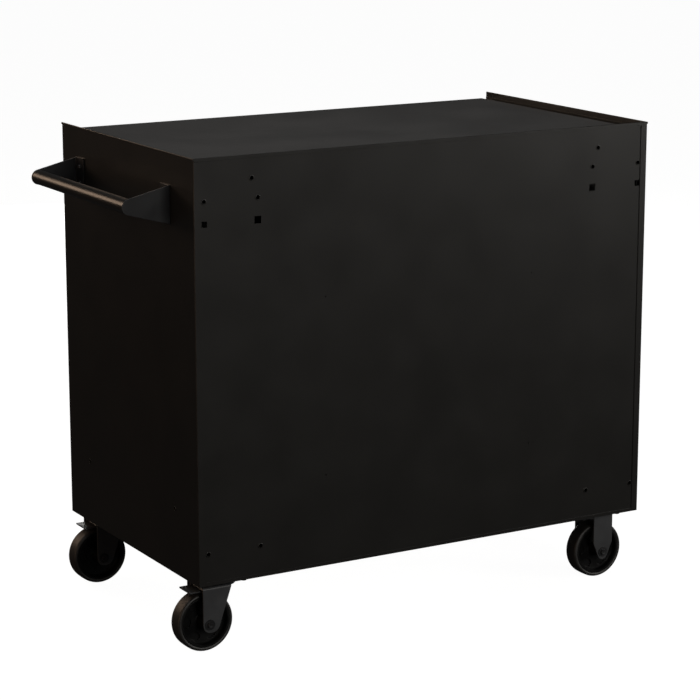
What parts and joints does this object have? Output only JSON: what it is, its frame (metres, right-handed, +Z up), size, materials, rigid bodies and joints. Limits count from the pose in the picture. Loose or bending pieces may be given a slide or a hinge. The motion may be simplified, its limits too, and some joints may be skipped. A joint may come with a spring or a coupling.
{
  "type": "rolling tool chest",
  "caption": "Rolling sheet steel tool chest with full-width drawers, a lipped top with a mat, an end push handle, a cam lock, and swivel and rigid casters.",
  "frame": {"origin": "middle of the bounding box of the closed chest, on the floor", "axes": "+X towards the end with the push handle, -Y towards the drawers, +Z up"},
  "size_m": [1.1907, 0.642, 1.0172],
  "materials": {
    "paint": "semi-gloss",
    "inner_paint": "satin",
    "fork_paint": "satin",
    "zinc": "zinc plated",
    "chrome": "polished",
    "aluminium": "satin anodised",
    "mat_rubber": "matt",
    "tyre_rubber": "matt",
    "hub_plastic": "matt"
  },
  "bodies": {
    "cabinet": {"end_panel_right": "paint", "end_panel_left": "paint", "back_panel": "paint", "top_panel": "paint", "top_mat": "mat_rubber", "bottom_panel": "paint", "inner_side_right": "inner_paint", "inner_side_left": "inner_paint", "front_top_rail": "paint", "front_bottom_rail": "paint", "handle_bracket_rear": "fork_paint", "handle_bracket_front": "fork_paint", "handle_tube": "paint", "lock_housing": "chrome", "drawer_1_slide_right": "zinc", "drawer_1_slide_left": "zinc", "drawer_2_slide_right": "zinc", "drawer_2_slide_left": "zinc", "drawer_3_slide_right": "zinc", "drawer_3_slide_left": "zinc", "drawer_4_slide_right": "zinc", "drawer_4_slide_left": "zinc", "drawer_5_slide_right": "zinc", "drawer_5_slide_left": "zinc", "drawer_6_slide_right": "zinc", "drawer_6_slide_left": "zinc", "swivel_plate_front": "fork_paint", "rigid_fork_front": "fork_paint", "rigid_axle_front": "zinc", "swivel_plate_rear": "fork_paint", "rigid_fork_rear": "fork_paint", "rigid_axle_rear": "zinc"},
    "drawer_1": {"drawer_1_box": "paint", "drawer_1_pull": "aluminium"},
    "drawer_2": {"drawer_2_box": "paint", "drawer_2_pull": "aluminium"},
    "drawer_3": {"drawer_3_box": "paint", "drawer_3_pull": "aluminium"},
    "drawer_4": {"drawer_4_box": "paint", "drawer_4_pull": "aluminium"},
    "drawer_5": {"drawer_5_box": "paint", "drawer_5_pull": "aluminium"},
    "drawer_6": {"drawer_6_box": "paint", "drawer_6_pull": "aluminium"},
    "lock_plug": {"lock_plug": "zinc"},
    "lock_bar": {"lock_bar": "zinc"},
    "swivel_front": {"swivel_fork_front": "fork_paint", "swivel_axle_front": "zinc"},
    "swivel_wheel_front": {"swivel_hub_front": "hub_plastic", "swivel_tyre_front": "tyre_rubber"},
    "pedal_front": {"brake_pedal_front": "fork_paint"},
    "rigid_wheel_front": {"rigid_hub_front": "hub_plastic", "rigid_tyre_front": "tyre_rubber"},
    "swivel_rear": {"swivel_fork_rear": "fork_paint", "swivel_axle_rear": "zinc"},
    "swivel_wheel_rear": {"swivel_hub_rear": "hub_plastic", "swivel_tyre_rear": "tyre_rubber"},
    "pedal_rear": {"brake_pedal_rear": "fork_paint"},
    "rigid_wheel_rear": {"rigid_hub_rear": "hub_plastic", "rigid_tyre_rear": "tyre_rubber"}
  },
  "joints": [
    {"name": "drawer_1_slide", "type": "slide", "parent": "cabinet", "child": "drawer_1", "axis": [0, -1, 0], "range_m": [0, 0.42]},
    {"name": "drawer_2_slide", "type": "slide", "parent": "cabinet", "child": "drawer_2", "axis": [0, -1, 0], "range_m": [0, 0.42]},
    {"name": "drawer_3_slide", "type": "slide", "parent": "cabinet", "child": "drawer_3", "axis": [0, -1, 0], "range_m": [0, 0.42]},
    {"name": "drawer_4_slide", "type": "slide", "parent": "cabinet", "child": "drawer_4", "axis": [0, -1, 0], "range_m": [0, 0.42]},
    {"name": "drawer_5_slide", "type": "slide", "parent": "cabinet", "child": "drawer_5", "axis": [0, -1, 0], "range_m": [0, 0.42]},
    {"name": "drawer_6_slide", "type": "slide", "parent": "cabinet", "child": "drawer_6", "axis": [0, -1, 0], "range_m": [0, 0.42]},
    {"name": "lock_plug_turn", "type": "hinge", "parent": "cabinet", "child": "lock_plug", "pos_m": [0.3784, -0.306, 0.968], "axis": [0, -1, 0], "range_deg": [0, 90]},
    {"name": "lock_bar_slide", "type": "slide", "parent": "cabinet", "child": "lock_bar", "axis": [1, 0, 0], "range_m": [0, 0.008]},
    {"name": "swivel_front_turn", "type": "hinge", "parent": "cabinet", "child": "swivel_front", "pos_m": [0.4167, -0.2492, 0.141], "axis": [0, 0, 1], "continuous": true},
    {"name": "swivel_wheel_front_roll", "type": "hinge", "parent": "swivel_front", "child": "swivel_wheel_front", "pos_m": [0.4577, -0.2492, 0.0623], "axis": [0, 1, 0], "continuous": true},
    {"name": "pedal_front_press", "type": "hinge", "parent": "swivel_front", "child": "pedal_front", "pos_m": [0.4637, -0.2492, 0.1315], "axis": [0, 1, 0], "range_deg": [0, 12]},
    {"name": "rigid_wheel_front_roll", "type": "hinge", "parent": "cabinet", "child": "rigid_wheel_front", "pos_m": [-0.5176, -0.2492, 0.0623], "axis": [0, 1, 0], "continuous": true},
    {"name": "swivel_rear_turn", "type": "hinge", "parent": "cabinet", "child": "swivel_rear", "pos_m": [0.4167, 0.2642, 0.141], "axis": [0, 0, 1], "continuous": true},
    {"name": "swivel_wheel_rear_roll", "type": "hinge", "parent": "swivel_rear", "child": "swivel_wheel_rear", "pos_m": [0.4577, 0.2642, 0.0623], "axis": [0, 1, 0], "continuous": true},
    {"name": "pedal_rear_press", "type": "hinge", "parent": "swivel_rear", "child": "pedal_rear", "pos_m": [0.4637, 0.2642, 0.1315], "axis": [0, 1, 0], "range_deg": [0, 12]},
    {"name": "rigid_wheel_rear_roll", "type": "hinge", "parent": "cabinet", "child": "rigid_wheel_rear", "pos_m": [-0.5176, 0.2642, 0.0623], "axis": [0, 1, 0], "continuous": true}
  ],
  "couplings": [
    {"joint": "lock_plug_turn", "follows": "lock_bar_slide", "rad_per_m": 196.35}
  ]
}
